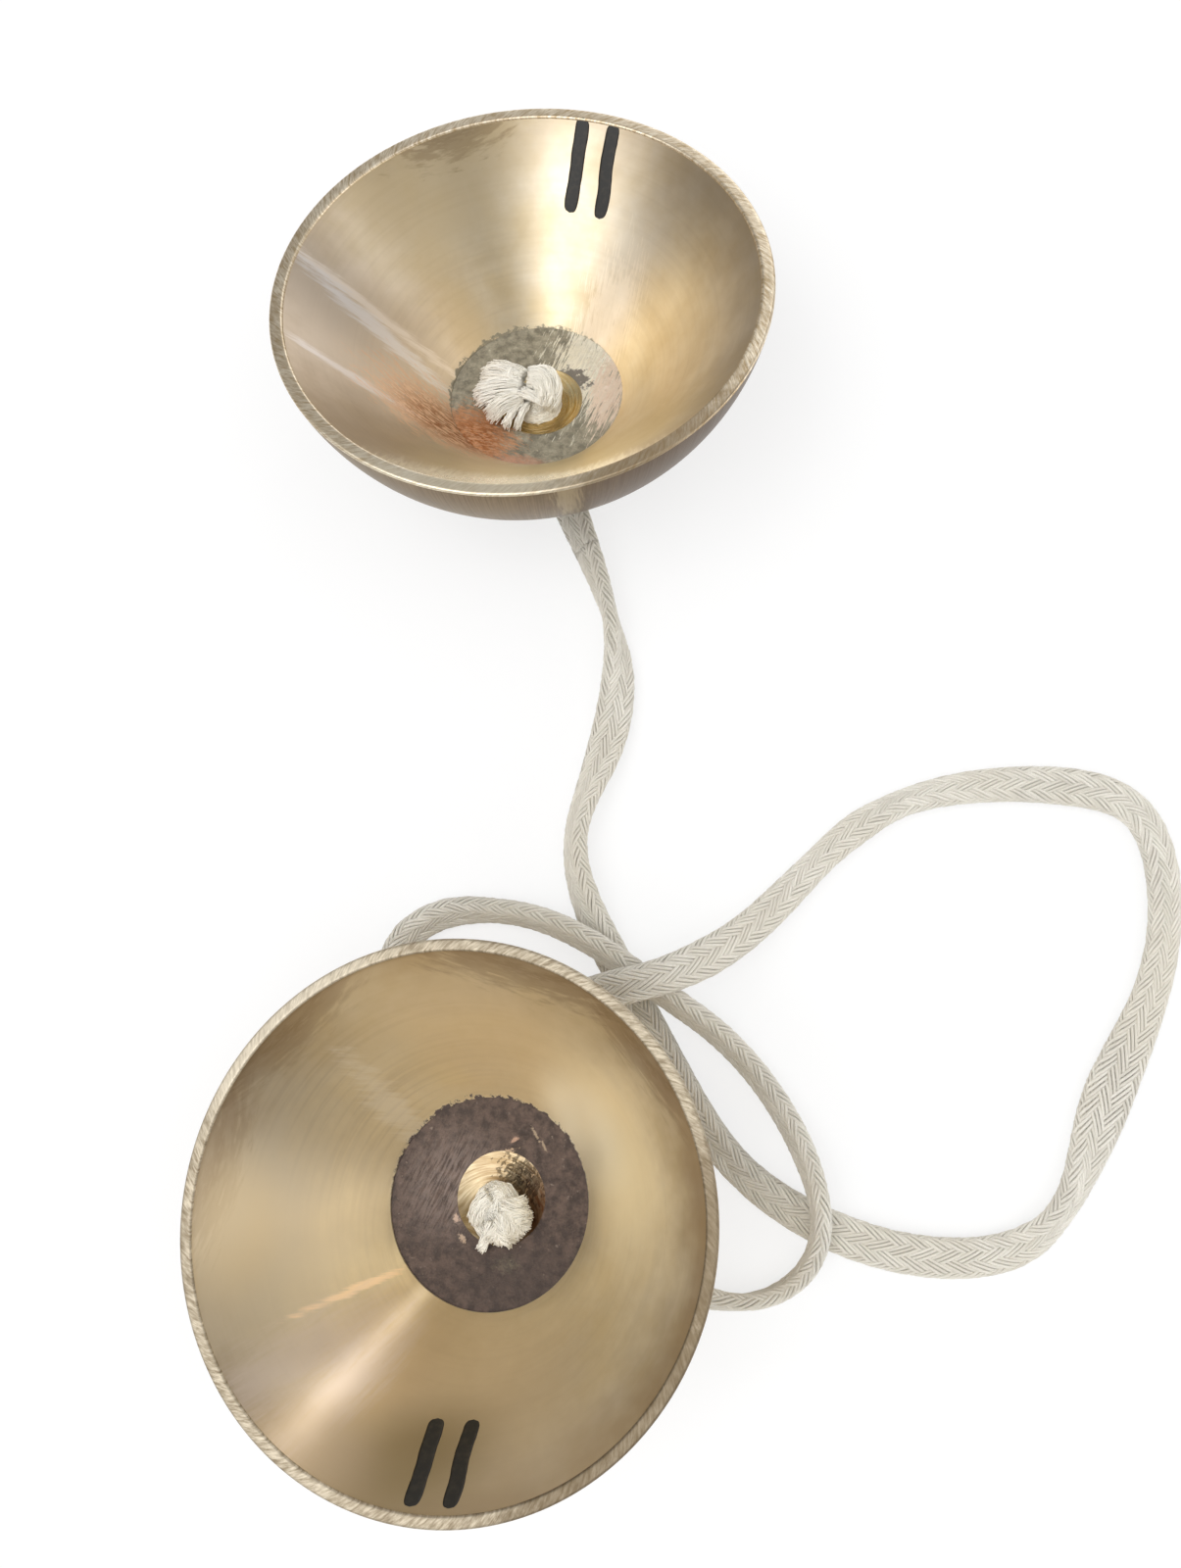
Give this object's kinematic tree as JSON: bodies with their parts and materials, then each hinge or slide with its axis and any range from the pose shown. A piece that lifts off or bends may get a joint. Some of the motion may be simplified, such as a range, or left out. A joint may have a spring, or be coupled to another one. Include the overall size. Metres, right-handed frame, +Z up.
{
  "type": "pair of hand cymbals",
  "caption": "Manjira: thick bell-metal cup cymbals joined by a flat braided cotton cord, knotted inside each cup.",
  "frame": {"origin": "on the table, under the middle of the box round the two cups", "axes": "+Z up from the table, +Y along the long side of the pair, from the lower cup towards the upper one in a view from above, +X to the right in that view"},
  "size_m": [0.1243, 0.1727, 0.0343],
  "materials": {
    "bell_metal": "turned bell metal with cast patches and brown tarnish",
    "cotton_braid": "flat hollow braid of plied cotton yarn, off-white",
    "cotton_tuft": "frayed cotton fibres, white"
  },
  "bodies": {
    "cord": {"cord": "cotton_braid", "upper_cord_end": "cotton_braid", "lower_cord_end": "cotton_braid"},
    "upper_knot": {"upper_knot": "cotton_tuft"},
    "upper_cup": {"upper_cup": "bell_metal"},
    "lower_knot": {"lower_knot": "cotton_tuft"},
    "lower_cup": {"lower_cup": "bell_metal"}
  },
  "joints": [
    {"name": "upper_tip", "type": "hinge", "parent": "cord", "child": "upper_knot", "pos_m": [0.0029, 0.0592, 0.0305], "axis": [-0.9659, -0.2588, 0], "range_deg": [0, 60], "deforming": ["upper_cord_end"]},
    {"name": "upper_spin", "type": "hinge", "parent": "upper_knot", "child": "upper_cup", "pos_m": [0.00552, 0.04941, 0.00169], "axis": [-0.0735, 0.2743, 0.9588], "continuous": true},
    {"name": "lower_tip", "type": "hinge", "parent": "cord", "child": "lower_knot", "pos_m": [-0.0072, -0.054, 0.0305], "axis": [-0.3746, -0.9272, 0], "range_deg": [0, 60], "deforming": ["lower_cord_end"]},
    {"name": "lower_spin", "type": "hinge", "parent": "lower_knot", "child": "lower_cup", "pos_m": [0.00126, -0.05742, 0.00136], "axis": [-0.2321, 0.0938, 0.9681], "continuous": true}
  ]
}
